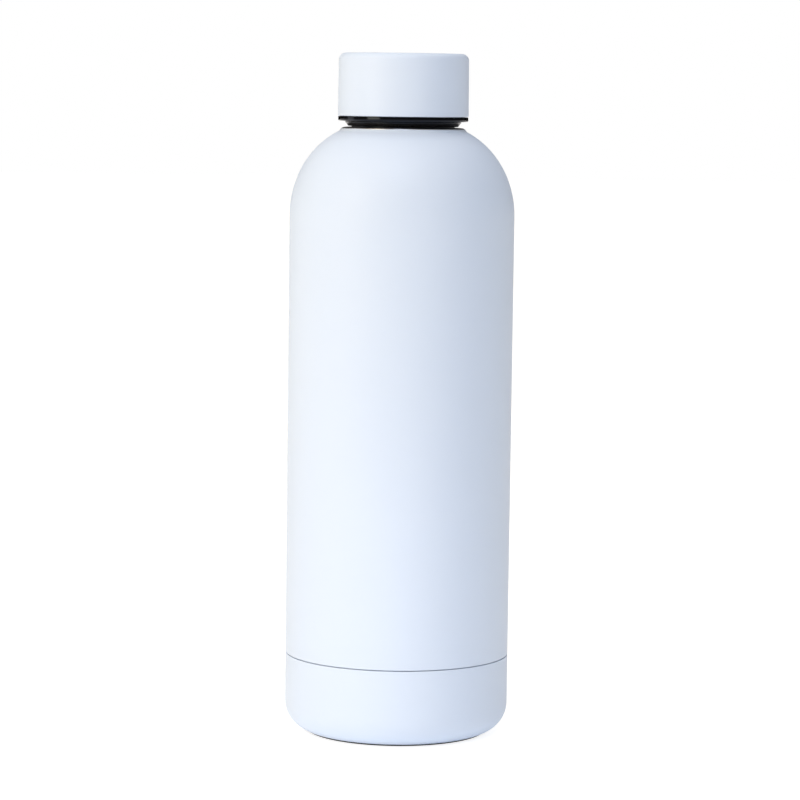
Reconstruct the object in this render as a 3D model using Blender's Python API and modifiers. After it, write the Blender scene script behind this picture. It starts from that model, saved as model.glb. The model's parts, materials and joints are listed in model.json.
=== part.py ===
"""A 500 ml insulated water bottle: a double-walled steel vessel with a screw cap.

Every sub-part is one named object. Sizes are millimetres here and metres in the scene, +Z is up, and the
origin is the centre of the foot, so the whole bottle stands on the plane Z = 0. Almost every piece is turned
about the Z axis, so it is a half outline of (radius, height) points with a Screw modifier. The cap and the
neck carry one right-hand screw thread each, and the two threads mesh with the cap shut.
"""

import math

import bmesh
import bpy

MM = 0.001
FACETS = 40
HIDDEN_FACETS = 32
SMALL_FACETS = 24
MERGE = 0.00001
SHARP_ANGLE = math.radians(32.0)

# Overall
BODY_R = 35.0
SHEET = 0.4
CAP_TOP = 212.2
CAP_R = 20.3
SEAM_Z = 24.7
SEAM_GAP = 0.25
GAP = 0.3
GLUE_GAP = 0.15

# Shoulder of the outer shell, a quarter of an ellipse (radius, height)
DOME_CENTRE = (8.7, 162.1)
DOME_RADII = (BODY_R - 8.7, 28.7)
DOME_END = 64.8
RIM_TOP = 188.6
RIM_R = 19.15
MOUTH_HOLE_R = 18.0

# Spigot at the foot of the outer shell, which the base cup slides over
SPIGOT_R = 33.6
SPIGOT_END = 9.5

# Inner vessel
LINER_R = 31.2
LINER_CORNER = 6.0
NECK_R = 16.4
NECK_WALL = 0.9
NECK_END = 178.5
LIP_TOP = 189.35
LIP_R = 19.05
LIP_BASE = 188.8
LIP_FLAT_R = 17.3
FILLET_CENTRE = (20.3, NECK_END)
FILLET_R = FILLET_CENTRE[0] - NECK_R
FILLET_END = 245.0
LINER_DOME_START = 65.0

# Foot
BASE_CORNER = 9.0
BASE_LOW = 0.1
FOOT_IN_R = 24.4
FOOT_OUT_R = 28.4
FOOT_HEIGHT = 1.45

# Vacuum parts under the inner vessel
OUTER_FLOOR = 4.6
LINER_FLOOR = 9.4
DIMPLE_RISE = 1.3
VACUUM_HOLE_R = 1.5
GETTER_X = 17.0

# Cap
CAP_BOTTOM = 192.75
CAP_CORNER = 2.2
CAP_DRAFT = 0.12
FLANGE_TOP = CAP_BOTTOM - GAP
FLANGE_LOW = 191.2
SKIRT_R = 18.9
SKIRT_WALL = 1.6
SKIRT_TOP = 208.0
PLUG_R = 15.1
PLUG_WALL = 1.6
PLUG_LOW = 177.0
PLUG_TOP = 195.5
LEDGE_TOP = 193.2

# Screw thread, one start, right hand
LEAD = 4.0
THREAD_DEPTH = 0.97
THREAD_ROOT = 0.75
THREAD_CREST = 0.4
THREAD_BURIED = 0.32
PLUG_THREAD = (179.0, 2.0)
NECK_THREAD = (180.3, 1.75)
RUN_OUT = 8
RUN_OUT_SCALE = 0.3

COLOURS = {
    "soft_touch_paint": ((0.80, 0.86, 0.93), 0.55, 0.0),
    "bare_steel": ((0.62, 0.62, 0.63), 0.25, 1.0),
    "black_plastic": ((0.015, 0.015, 0.016), 0.35, 0.0),
    "black_silicone": ((0.02, 0.02, 0.02), 0.55, 0.0),
    "copper": ((0.80, 0.42, 0.26), 0.3, 1.0),
    "white_foam": ((0.90, 0.90, 0.88), 0.9, 0.0),
    "clear_adhesive": ((0.75, 0.72, 0.62), 0.4, 0.0),
    "solder_glass": ((0.10, 0.13, 0.12), 0.15, 0.0),
    "getter_alloy": ((0.22, 0.22, 0.23), 0.8, 1.0),
}


def clear_scene():
    for obj in list(bpy.data.objects):
        bpy.data.objects.remove(obj)


def collection(name):
    made = bpy.data.collections.new(name)
    bpy.context.scene.collection.children.link(made)
    return made


def material(name):
    found = bpy.data.materials.get(name)
    if found:
        return found
    colour, roughness, metallic = COLOURS[name]
    made = bpy.data.materials.new(name)
    made.use_nodes = True
    shader = made.node_tree.nodes["Principled BSDF"]
    shader.inputs["Base Color"].default_value = (*colour, 1.0)
    shader.inputs["Roughness"].default_value = roughness
    shader.inputs["Metallic"].default_value = metallic
    made.diffuse_color = (*colour, 1.0)
    return made


def arc(centre, radii, start, end, steps):
    """Points of an arc or a part of an ellipse, from the angle start to the angle end in degrees."""
    points = []
    for i in range(steps + 1):
        angle = math.radians(start + (end - start) * i / steps)
        points.append((centre[0] + radii[0] * math.cos(angle), centre[1] + radii[1] * math.sin(angle)))
    return points


def turned(parts, name, finish, outline, closed=False, at=(0.0, 0.0), facets=FACETS):
    """A turned piece. The outline runs down the outer side; closed joins its last point to its first."""
    mesh = bpy.data.meshes.new(name)
    count = len(outline)
    edges = [(i, i + 1) for i in range(count - 1)]
    if closed:
        edges.append((count - 1, 0))
    mesh.from_pydata([(r * MM, 0.0, z * MM) for r, z in outline], edges, [])
    mesh.materials.append(material(finish))
    obj = bpy.data.objects.new(name, mesh)
    obj.location = (at[0] * MM, at[1] * MM, 0.0)
    parts.objects.link(obj)
    screw = obj.modifiers.new("Screw", "SCREW")
    screw.steps = facets
    screw.render_steps = facets
    screw.use_merge_vertices = True
    screw.merge_threshold = MERGE
    screw.use_smooth_shade = True
    return obj


def thread_section(name, cutters, inward):
    """The thread's cross-section as a flat curve: its X points away from the wall that carries it."""
    side = -1.0 if inward else 1.0
    corners = [
        (-THREAD_BURIED * side, -THREAD_ROOT),
        (THREAD_DEPTH * side, -THREAD_CREST),
        (THREAD_DEPTH * side, THREAD_CREST),
        (-THREAD_BURIED * side, THREAD_ROOT),
    ]
    curve = bpy.data.curves.new(name, "CURVE")
    curve.dimensions = "2D"
    spline = curve.splines.new("POLY")
    spline.points.add(len(corners) - 1)
    for point, (x, y) in zip(spline.points, corners):
        point.co = (x * MM, y * MM, 0.0, 1.0)
    spline.use_cyclic_u = True
    obj = bpy.data.objects.new(name, curve)
    obj.hide_render = True
    obj.display_type = "WIRE"
    cutters.objects.link(obj)
    return obj


def thread(name, cutters, wall_r, low, turns, inward):
    """A helical ridge standing on the wall at wall_r, as a closed mesh. It fades out at both ends."""
    section = thread_section(name + "_section", cutters, inward)
    curve = bpy.data.curves.new(name, "CURVE")
    curve.dimensions = "3D"
    curve.twist_mode = "Z_UP"
    curve.bevel_mode = "OBJECT"
    curve.bevel_object = section
    curve.use_fill_caps = True
    spline = curve.splines.new("POLY")
    count = round(turns * FACETS)
    spline.points.add(count)
    for i, point in enumerate(spline.points):
        angle = 2.0 * math.pi * i / FACETS
        height = low + LEAD * i / FACETS
        point.co = (wall_r * math.cos(angle) * MM, wall_r * math.sin(angle) * MM, height * MM, 1.0)
        from_end = min(i, count - i) / RUN_OUT
        point.radius = min(1.0, RUN_OUT_SCALE + (1.0 - RUN_OUT_SCALE) * from_end)
    drawn = bpy.data.objects.new(name, curve)
    cutters.objects.link(drawn)
    return as_mesh(drawn, cutters)


def as_mesh(drawn, cutters):
    """Swaps a curve object for a closed mesh object of the same name and place, which can join a Boolean."""
    name = drawn.name
    graph = bpy.context.evaluated_depsgraph_get()
    mesh = bpy.data.meshes.new_from_object(drawn.evaluated_get(graph))
    weld(mesh)
    place = drawn.matrix_world.copy()
    bpy.data.objects.remove(drawn)
    obj = bpy.data.objects.new(name, mesh)
    obj.matrix_world = place
    obj.hide_render = True
    obj.display_type = "WIRE"
    cutters.objects.link(obj)
    return obj


def weld(mesh):
    work = bmesh.new()
    work.from_mesh(mesh)
    bmesh.ops.remove_doubles(work, verts=work.verts, dist=MERGE)
    bmesh.ops.recalc_face_normals(work, faces=work.faces)
    work.to_mesh(mesh)
    work.free()


def keep_corners_sharp(parts):
    """Round pieces are shaded smooth, and split along every edge that turns by more than SHARP_ANGLE."""
    for obj in parts.objects:
        split = obj.modifiers.new("Sharp corners", "EDGE_SPLIT")
        split.split_angle = SHARP_ANGLE


def join(obj, other):
    union = obj.modifiers.new("Join " + other.name, "BOOLEAN")
    union.operation = "UNION"
    union.object = other


def outer_shell(parts):
    """The painted outer wall, from the mouth's rim down to the spigot inside the base cup."""
    outside = [(MOUTH_HOLE_R, RIM_TOP), (RIM_R, RIM_TOP), (RIM_R + 0.3, RIM_TOP - 0.2)]
    outside += arc(DOME_CENTRE, DOME_RADII, DOME_END, 0.0, 11)
    outside += arc((BODY_R - 0.3, SEAM_Z + 0.3), (0.3, 0.3), 0.0, -90.0, 2)
    outside += [(SPIGOT_R, SEAM_Z), (SPIGOT_R, SPIGOT_END)]
    inner_r = SPIGOT_R - SHEET
    inside = [(inner_r, SPIGOT_END), (inner_r, SEAM_Z + SHEET), (BODY_R - SHEET, SEAM_Z + 3 * SHEET)]
    inner_radii = (DOME_RADII[0] - SHEET, DOME_RADII[1] - SHEET)
    inside += arc(DOME_CENTRE, inner_radii, 0.0, DOME_END + 2.0, 7)
    inside += [(MOUTH_HOLE_R, inside[-1][1])]
    return turned(parts, "outer_shell", "soft_touch_paint", outside + inside, closed=True)


def liner_dome():
    """Centre, outer radius of the inner vessel's shoulder, which leaves the neck's fillet without a kink."""
    end = arc(FILLET_CENTRE, (FILLET_R - NECK_WALL,) * 2, FILLET_END, FILLET_END, 1)[0]
    tilt = math.radians(LINER_DOME_START)
    radius = (LINER_R - end[0]) / (1.0 - math.cos(tilt))
    return (LINER_R - radius, end[1] - radius * math.sin(tilt)), radius


def inner_liner(parts, cutters):
    """The inner vessel: polished mouth lip, threaded neck, shoulder, wall and foot, with a round hole below."""
    centre, radius = liner_dome()
    foot = (LINER_R - LINER_CORNER, LINER_FLOOR + LINER_CORNER)
    inner_corner = LINER_CORNER - SHEET
    neck_out = NECK_R + NECK_WALL
    outside = [(NECK_R + 0.3, LIP_TOP)]
    lip_radii = (LIP_R - LIP_FLAT_R, LIP_TOP - LIP_BASE - 0.1)
    outside += arc((LIP_FLAT_R, LIP_BASE + 0.1), lip_radii, 90.0, 0.0, 5)
    outside += [(LIP_R - 0.1, LIP_BASE), (neck_out, LIP_BASE)]
    outside += arc(FILLET_CENTRE, (FILLET_R - NECK_WALL,) * 2, 180.0, FILLET_END, 3)
    outside += arc(centre, (radius, radius), LINER_DOME_START, 0.0, 6)[1:]
    outside += arc(foot, (LINER_CORNER, LINER_CORNER), 0.0, -90.0, 4)
    inside = arc(foot, (inner_corner, inner_corner), -90.0, 0.0, 4)
    inside += arc(centre, (radius - SHEET,) * 2, 0.0, LINER_DOME_START, 6)[:-1]
    inside += arc(FILLET_CENTRE, (FILLET_R,) * 2, FILLET_END, 180.0, 3)
    inside += [(NECK_R, LIP_TOP - 0.6)]
    obj = turned(parts, "inner_liner", "bare_steel", outside + inside, closed=True)
    join(obj, thread("neck_thread", cutters, NECK_R, *NECK_THREAD, inward=True))
    return obj


def liner_bottom(parts):
    """The pressed disc welded into the inner vessel's foot, with a low dome at its centre."""
    edge = LINER_R - LINER_CORNER - GAP
    rise = ((0.0, 1.2), (6.0, 1.0), (11.0, 0.3), (14.0, 0.0), (edge, 0.0))
    inside = [(r, LINER_FLOOR + z + SHEET) for r, z in rise]
    outside = [(r, LINER_FLOOR + z) for r, z in reversed(rise)]
    return turned(parts, "liner_bottom", "bare_steel", inside + outside)


def outer_bottom(parts):
    """The dish that closes the vacuum space, with the evacuation hole in the dimple at its centre."""
    corner, rim_r, top = 4.0, SPIGOT_R - SHEET - GAP, 14.0
    centre = (rim_r - corner, OUTER_FLOOR + corner)
    raised = OUTER_FLOOR + DIMPLE_RISE
    inside = [(VACUUM_HOLE_R, raised + SHEET), (5.0, raised + SHEET), (6.4, OUTER_FLOOR + SHEET)]
    inside += arc(centre, (corner - SHEET,) * 2, -90.0, 0.0, 3)
    inside += [(rim_r - SHEET, top)]
    outside = [(rim_r, top)]
    outside += arc(centre, (corner, corner), 0.0, -90.0, 3)
    outside += [(6.1, OUTER_FLOOR), (4.7, raised), (VACUUM_HOLE_R, raised)]
    return turned(parts, "outer_bottom", "bare_steel", inside + outside, closed=True, facets=HIDDEN_FACETS)


def seal_bead(parts):
    """The glass solder that closes the evacuation hole."""
    under = OUTER_FLOOR + DIMPLE_RISE - GLUE_GAP
    stem_r = VACUUM_HOLE_R - GAP
    outline = [(0.0, under + 1.1), (stem_r * 0.7, under + 1.0), (stem_r, under + 0.7), (stem_r, under)]
    outline += [(3.8, under), (3.6, under - 0.5), (2.3, under - 0.85), (0.0, under - 1.0)]
    return turned(parts, "seal_bead", "solder_glass", outline, facets=SMALL_FACETS)


def getter(parts):
    """The gas-absorbing tablet and the flanged cup that is spot-welded to the outer bottom."""
    floor = OUTER_FLOOR + SHEET + GLUE_GAP
    cup = [(0.0, floor + 0.4), (3.7, floor + 0.4), (3.7, floor + 1.5), (4.1, floor + 1.5)]
    cup += [(4.1, floor + 0.4), (6.0, floor + 0.4), (6.0, floor), (0.0, floor)]
    turned(parts, "getter_cup", "bare_steel", cup, at=(GETTER_X, 0.0), facets=SMALL_FACETS)
    low = floor + 0.4 + GLUE_GAP
    tablet = [(0.0, low + 1.9), (3.1, low + 1.9), (3.4, low + 1.6), (3.4, low), (0.0, low)]
    turned(parts, "getter_tablet", "getter_alloy", tablet, at=(GETTER_X, 0.0), facets=SMALL_FACETS)


def copper_foil(parts):
    """The heat-reflecting wrap round the inner vessel."""
    inner, thick, top, low = LINER_R + GLUE_GAP, 0.2, 153.0, 18.0
    outline = [(inner, top), (inner + thick, top), (inner + thick, low), (inner, low)]
    return turned(parts, "copper_foil", "copper", outline, closed=True)


def base_cup(parts):
    """The painted cup below the seam, with a channel under it for the foot ring."""
    centre = (BODY_R - BASE_CORNER, BASE_LOW + BASE_CORNER)
    channel_top = FOOT_HEIGHT + GLUE_GAP
    channel_out = FOOT_OUT_R + GAP
    channel_in = FOOT_IN_R - 0.4
    panel = channel_top + 0.8
    side_angle = math.degrees(math.acos((channel_out - centre[0]) / BASE_CORNER))
    inner_corner = BASE_CORNER - SHEET
    floor_angle = math.degrees(math.asin((centre[1] - channel_top - SHEET) / inner_corner))
    inside = [(0.0, panel + SHEET), (channel_in - 1.4, panel + SHEET), (channel_in - 0.2, channel_top + SHEET)]
    inside += arc(centre, (inner_corner, inner_corner), -floor_angle, 0.0, 5)
    top = SEAM_Z - SEAM_GAP
    inside += [(BODY_R - SHEET, top)]
    outside = arc((BODY_R - 0.3, top - 0.3), (0.3, 0.3), 90.0, 0.0, 2)
    outside += arc(centre, (BASE_CORNER, BASE_CORNER), 0.0, -side_angle, 7)
    outside += [(channel_out, channel_top), (channel_in, channel_top), (channel_in - 1.2, panel), (0.0, panel)]
    return turned(parts, "base_cup", "soft_touch_paint", inside + outside)


def foot_ring(parts):
    """The non-slip ring that the bottle stands on."""
    edge = 0.3
    outline = [(FOOT_IN_R, FOOT_HEIGHT), (FOOT_OUT_R, FOOT_HEIGHT), (FOOT_OUT_R, edge)]
    outline += [(FOOT_OUT_R - edge, 0.0), (FOOT_IN_R + edge, 0.0), (FOOT_IN_R, edge)]
    return turned(parts, "foot_ring", "black_silicone", outline, closed=True)


def bond_ring(parts, name, inner, outer, low, top):
    """A thin band of adhesive between two round walls."""
    r_in, r_out = inner + GLUE_GAP, outer - GLUE_GAP
    outline = [(r_in, top), (r_out, top), (r_out, low), (r_in, low)]
    return turned(parts, name, "clear_adhesive", outline, closed=True)


def cap_shell(parts):
    """The painted steel cup of the cap."""
    top_r = CAP_R - CAP_DRAFT
    centre = (top_r - CAP_CORNER, CAP_TOP - CAP_CORNER)
    inner_corner = CAP_CORNER - SHEET
    outline = [(0.0, CAP_TOP)] + arc(centre, (CAP_CORNER, CAP_CORNER), 90.0, 0.0, 5)
    outline += [(CAP_R, CAP_BOTTOM + 0.2), (CAP_R - 0.15, CAP_BOTTOM)]
    outline += [(CAP_R - SHEET, CAP_BOTTOM)]
    outline += arc(centre, (inner_corner, inner_corner), 0.0, 90.0, 4)
    outline += [(0.0, CAP_TOP - SHEET)]
    return turned(parts, "cap_shell", "soft_touch_paint", outline)


def cap_insert(parts):
    """The black ring glued into the cap's shell: a visible flange below, a skirt above, a ledge inside."""
    skirt_in = SKIRT_R - SKIRT_WALL
    bore = PLUG_R + 0.8
    flange_r, edge = CAP_R - 0.1, 0.4
    outline = [(skirt_in, SKIRT_TOP), (SKIRT_R, SKIRT_TOP), (SKIRT_R, FLANGE_TOP + 0.4)]
    outline += [(SKIRT_R + 0.4, FLANGE_TOP), (flange_r, FLANGE_TOP)]
    outline += arc((flange_r - edge, FLANGE_LOW + edge), (edge, edge), 0.0, -90.0, 3)
    outline += [(bore, FLANGE_LOW), (bore, LEDGE_TOP), (skirt_in, LEDGE_TOP)]
    return turned(parts, "cap_insert", "black_plastic", outline, closed=True)


def plug(parts, cutters):
    """The threaded cup that screws into the neck, hung from the insert's ledge by its flange."""
    inner = PLUG_R - PLUG_WALL
    flange_r = SKIRT_R - SKIRT_WALL - GAP
    shank_r, shank_low = PLUG_R + 0.5, FLANGE_LOW + 0.1
    outline = [(0.0, PLUG_LOW + 1.6), (inner, PLUG_LOW + 1.6), (inner, PLUG_TOP), (flange_r, PLUG_TOP)]
    outline += [(flange_r, LEDGE_TOP + GAP), (shank_r, LEDGE_TOP + GAP), (shank_r, shank_low)]
    outline += [(PLUG_R, shank_low), (PLUG_R, PLUG_LOW + 1.0), (PLUG_R - 1.0, PLUG_LOW)]
    outline += [(PLUG_R - 2.4, PLUG_LOW), (PLUG_R - 2.8, PLUG_LOW + 0.6), (0.0, PLUG_LOW + 0.6)]
    obj = turned(parts, "plug", "black_plastic", outline)
    join(obj, thread("plug_thread", cutters, PLUG_R, *PLUG_THREAD, inward=False))
    return obj


def lid_gasket(parts):
    """The tapered silicone ring that closes on the mouth's lip, with a sleeve that reaches into the neck."""
    inner, outer, top, low = PLUG_R + GAP, 18.1, FLANGE_LOW - GLUE_GAP, LIP_TOP + GAP
    sleeve_r, sleeve_low = NECK_R - 0.4, 188.4
    outline = [(inner, top), (outer, top), (outer - 0.1, top - 0.2), (outer - 0.8, low + 0.3), (outer - 1.15, low)]
    outline += [(sleeve_r + 0.1, low), (sleeve_r, sleeve_low + 0.3), (sleeve_r - 0.2, sleeve_low)]
    outline += [(inner, sleeve_low)]
    return turned(parts, "lid_gasket", "black_silicone", outline, closed=True)


def foam(parts, name, radius, low, top):
    """A die-cut plug of foam."""
    outline = [(0.0, top), (radius, top), (radius, low), (0.0, low)]
    return turned(parts, name, "white_foam", outline, facets=HIDDEN_FACETS)


def main():
    clear_scene()
    parts = collection("insulated_water_bottle")
    cutters = collection("helpers")
    outer_shell(parts)
    base_cup(parts)
    foot_ring(parts)
    outer_bottom(parts)
    seal_bead(parts)
    getter(parts)
    inner_liner(parts, cutters)
    liner_bottom(parts)
    copper_foil(parts)
    bond_ring(parts, "base_bond_ring", SPIGOT_R, BODY_R - SHEET, 11.5, 23.0)
    cap_shell(parts)
    cap_insert(parts)
    plug(parts, cutters)
    lid_gasket(parts)
    bond_ring(parts, "cap_bond_ring", SKIRT_R, CAP_R - CAP_DRAFT - SHEET, 196.0, 205.0)
    foam(parts, "plug_foam", PLUG_R - PLUG_WALL - GAP, PLUG_LOW + 1.6 + GAP, PLUG_TOP - GAP)
    foam(parts, "cap_foam", SKIRT_R - SKIRT_WALL - GAP, PLUG_TOP + GAP, CAP_TOP - SHEET - GAP)
    keep_corners_sharp(parts)


main()
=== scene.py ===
"""Looks of a 500 ml insulated bottle: soft-touch coated steel, a screw cap with a black seal, a pale studio.

Outlines are in millimetres, as (radius, height) or (radius, height, rounding), and run down the outer side of
a piece. They are turned about the bottle's upright axis.
"""

import json
import math

import bmesh
import bpy
from bpy.props import FloatProperty, FloatVectorProperty, IntProperty, PointerProperty
from mathutils import Matrix, Vector

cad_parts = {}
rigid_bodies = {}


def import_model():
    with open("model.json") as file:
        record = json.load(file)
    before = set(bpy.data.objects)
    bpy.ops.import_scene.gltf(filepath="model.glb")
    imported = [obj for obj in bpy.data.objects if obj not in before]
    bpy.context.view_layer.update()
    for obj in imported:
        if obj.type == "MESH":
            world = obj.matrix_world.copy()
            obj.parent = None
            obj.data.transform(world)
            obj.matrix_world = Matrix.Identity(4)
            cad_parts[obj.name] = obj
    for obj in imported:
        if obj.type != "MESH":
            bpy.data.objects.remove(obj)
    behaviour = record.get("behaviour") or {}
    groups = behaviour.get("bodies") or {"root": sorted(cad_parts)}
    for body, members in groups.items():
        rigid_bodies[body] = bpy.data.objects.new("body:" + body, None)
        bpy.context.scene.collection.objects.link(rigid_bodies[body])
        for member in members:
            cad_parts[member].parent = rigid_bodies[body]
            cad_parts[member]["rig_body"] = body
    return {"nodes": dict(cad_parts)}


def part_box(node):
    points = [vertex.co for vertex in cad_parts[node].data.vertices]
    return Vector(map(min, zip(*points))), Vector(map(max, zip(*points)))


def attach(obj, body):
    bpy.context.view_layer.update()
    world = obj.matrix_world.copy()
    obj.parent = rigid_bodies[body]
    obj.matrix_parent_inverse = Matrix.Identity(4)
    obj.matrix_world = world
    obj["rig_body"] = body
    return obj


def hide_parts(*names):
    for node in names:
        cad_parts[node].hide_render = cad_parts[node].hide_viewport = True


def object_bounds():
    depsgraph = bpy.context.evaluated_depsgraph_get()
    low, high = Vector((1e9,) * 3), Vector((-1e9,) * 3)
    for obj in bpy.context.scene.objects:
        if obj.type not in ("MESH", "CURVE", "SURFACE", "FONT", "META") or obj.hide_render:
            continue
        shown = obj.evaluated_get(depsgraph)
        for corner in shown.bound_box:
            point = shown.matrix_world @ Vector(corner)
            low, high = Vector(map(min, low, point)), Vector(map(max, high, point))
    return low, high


bl_info = {
    "name": "Insulated Water Bottle",
    "version": (1, 0, 0),
    "blender": (4, 5, 0),
    "location": "3D View > Sidebar > Bottle",
    "description": "Makes a coated steel bottle with a screw cap, and a pale studio round it",
    "category": "Add Mesh",
}

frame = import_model()
CAD_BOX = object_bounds()

MM = 0.001
MICRON = 0.000001
ROUNDING_STEP = math.radians(12.0)
SHARP_ANGLE = math.radians(40.0)
# A screw ridge starts this share of its depth inside the wall, and shrinks to this scale at its ends.
BURIED_SHARE = 0.3
END_SCALE = 0.25
MERGE = 2.0 * MICRON


def top(node):
    """Highest point of a CAD node, in millimetres."""
    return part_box(node)[1].z / MM


def foot(node):
    """Lowest point of a CAD node, in millimetres."""
    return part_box(node)[0].z / MM


def reach(node):
    """Largest radius of a CAD node on the bottle's axis, in millimetres."""
    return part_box(node)[1].x / MM


# ---------------------------------------------------------------- settings


class BottleSizes(bpy.types.PropertyGroup):
    """Sizes that shape the bottle"""

    body_radius: FloatProperty(
        name="Body radius",
        description="Outer radius of the body",
        default=reach("outer_shell") * MM,
        unit="LENGTH",
    )
    shoulder_start: FloatProperty(
        name="Shoulder start",
        description="Height at which the wall begins to lean in",
        default=(top("outer_shell") - 26.5) * MM,
        unit="LENGTH",
    )
    shoulder_rise: FloatProperty(
        name="Shoulder rise",
        description="Upright half axis of the shoulder's ellipse",
        default=28.7 * MM,
        unit="LENGTH",
    )
    shoulder_run: FloatProperty(
        name="Shoulder run",
        description="Level half axis of the shoulder's ellipse",
        default=26.3 * MM,
        unit="LENGTH",
    )
    base_corner: FloatProperty(
        name="Base corner",
        description="Rounding of the base cup's lower edge",
        default=9.0 * MM,
        unit="LENGTH",
    )
    cap_radius: FloatProperty(
        name="Cap radius",
        description="Outer radius of the cap",
        default=reach("cap_shell") * MM,
        unit="LENGTH",
    )
    cap_corner: FloatProperty(
        name="Cap corner", description="Rounding of the cap's top edge", default=2.2 * MM, unit="LENGTH"
    )
    sheet: FloatProperty(
        name="Sheet", description="Thickness of the steel sheet", default=0.4 * MM, unit="LENGTH"
    )
    thread_lead: FloatProperty(
        name="Thread lead",
        description="Rise of the screw thread in one turn",
        default=4.0 * MM,
        unit="LENGTH",
    )
    sides: IntProperty(name="Sides", description="Facets round a turned piece", default=192, min=24, max=512)

    def mm(self, name):
        """A length of this group in millimetres."""
        return getattr(self, name) / MM


class BottleFinish(bpy.types.PropertyGroup):
    """Colours and coats"""

    coat_colour: FloatVectorProperty(
        name="Coat",
        description="Soft-touch coat",
        subtype="COLOR",
        default=(0.66, 0.765, 0.93),
        min=0.0,
        max=1.0,
    )
    steel_colour: FloatVectorProperty(
        name="Steel", description="Bare steel", subtype="COLOR", default=(0.56, 0.58, 0.61), min=0.0, max=1.0
    )
    black_colour: FloatVectorProperty(
        name="Black plastic",
        description="Moulded insert and plug",
        subtype="COLOR",
        default=(0.004, 0.004, 0.0045),
        min=0.0,
        max=1.0,
    )
    silicone_colour: FloatVectorProperty(
        name="Silicone",
        description="Seal and foot ring",
        subtype="COLOR",
        default=(0.008, 0.008, 0.009),
        min=0.0,
        max=1.0,
    )
    coat_roughness: FloatProperty(
        name="Coat roughness",
        description="How matte the coat is",
        default=0.48,
        min=0.0,
        max=1.0,
        subtype="FACTOR",
    )


class StudioSettings(bpy.types.PropertyGroup):
    """Floor, lights and camera"""

    floor_colour: FloatVectorProperty(
        name="Floor",
        description="Pale matte floor",
        subtype="COLOR",
        default=(0.90, 0.90, 0.90),
        min=0.0,
        max=1.0,
    )
    key_power: FloatProperty(
        name="Key light", description="Power of the tall soft light", default=10.5, unit="POWER"
    )
    edge_power: FloatProperty(
        name="Edge light", description="Power of the light behind the left edge", default=1.3, unit="POWER"
    )
    top_power: FloatProperty(
        name="Top light", description="Power of the light above the camera", default=6.5, unit="POWER"
    )
    low_power: FloatProperty(
        name="Low light", description="Power of the light near the floor", default=0.032, unit="POWER"
    )
    fill_strength: FloatProperty(
        name="Fill", description="Strength of the light from overhead", default=1.40
    )
    floor_glow: FloatProperty(
        name="Floor glow", description="Light that the floor itself gives", default=0.22
    )
    camera_distance: FloatProperty(
        name="Camera distance",
        description="From the bottle's axis to the camera",
        default=0.9906,
        unit="LENGTH",
    )
    camera_height: FloatProperty(
        name="Camera height", description="Above the floor", default=0.2024, unit="LENGTH"
    )
    camera_pitch: FloatProperty(
        name="Camera pitch",
        description="Tilt of the camera below level",
        default=math.radians(5.66),
        subtype="ANGLE",
    )
    camera_roll: FloatProperty(
        name="Camera roll",
        description="Lean of the camera",
        default=math.radians(0.731),
        subtype="ANGLE",
    )
    lens: FloatProperty(
        name="Lens", description="Focal length on a 36 mm wide sensor, in millimetres", default=143.0
    )


# ---------------------------------------------------------------- node helpers


class Value:
    """A number in a node tree. Arithmetic on it adds Math nodes."""

    def __init__(self, tree, socket):
        self.tree = tree
        self.socket = socket

    def __add__(self, other):
        return self.tree.math("ADD", self, other)

    def __radd__(self, other):
        return self.tree.math("ADD", other, self)

    def __sub__(self, other):
        return self.tree.math("SUBTRACT", self, other)

    def __rsub__(self, other):
        return self.tree.math("SUBTRACT", other, self)

    def __mul__(self, other):
        return self.tree.math("MULTIPLY", self, other)

    def __rmul__(self, other):
        return self.tree.math("MULTIPLY", other, self)

    def __truediv__(self, other):
        return self.tree.math("DIVIDE", self, other)

    def __rtruediv__(self, other):
        return self.tree.math("DIVIDE", other, self)


class NodeTree:
    """Adds nodes to a shader or geometry tree."""

    def __init__(self, tree):
        self.tree = tree

    def add(self, kind, settings=None, inputs=None):
        """One node: its settings come first, then a value or a link for each named or numbered socket."""
        node = self.tree.nodes.new(kind)
        for name, setting in (settings or {}).items():
            if name == "stops":
                self.set_stops(node.color_ramp, setting)
            else:
                setattr(node, name, setting)
        for key, value in (inputs or {}).items():
            self.fill(self.socket(node, key), value)
        return node

    def fill(self, socket, value):
        """Gives a socket a plain value or a link."""
        if isinstance(value, Value):
            self.tree.links.new(value.socket, socket)
        elif isinstance(value, bpy.types.NodeSocket):
            self.tree.links.new(value, socket)
        else:
            socket.default_value = value

    @staticmethod
    def socket(node, key):
        if isinstance(key, int):
            return node.inputs[key]
        return next(s for s in node.inputs if s.enabled and key in (s.name, s.identifier))

    @staticmethod
    def set_stops(ramp, stops):
        while len(ramp.elements) < len(stops):
            ramp.elements.new(1.0)
        for element, (position, grey) in zip(ramp.elements, stops):
            element.position = position
            element.color = (grey, grey, grey, 1.0)

    def value(self, node, output=0):
        return Value(self, node.outputs[output])

    def math(self, operation, *operands):
        node = self.add("ShaderNodeMath", {"operation": operation}, dict(enumerate(operands)))
        return self.value(node)


# ---------------------------------------------------------------- geometry trees


def new_geometry_tree(name, inputs):
    """A geometry tree with named inputs, each (name, socket type, default)."""
    group = bpy.data.node_groups.new(name, "GeometryNodeTree")
    group.interface.new_socket("Geometry", in_out="INPUT", socket_type="NodeSocketGeometry")
    for label, kind, default in inputs:
        socket = group.interface.new_socket(label, in_out="INPUT", socket_type=kind)
        if default is not None:
            socket.default_value = default
    group.interface.new_socket("Geometry", in_out="OUTPUT", socket_type="NodeSocketGeometry")
    tree = NodeTree(group)
    return group, tree, tree.add("NodeGroupInput").outputs


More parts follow.
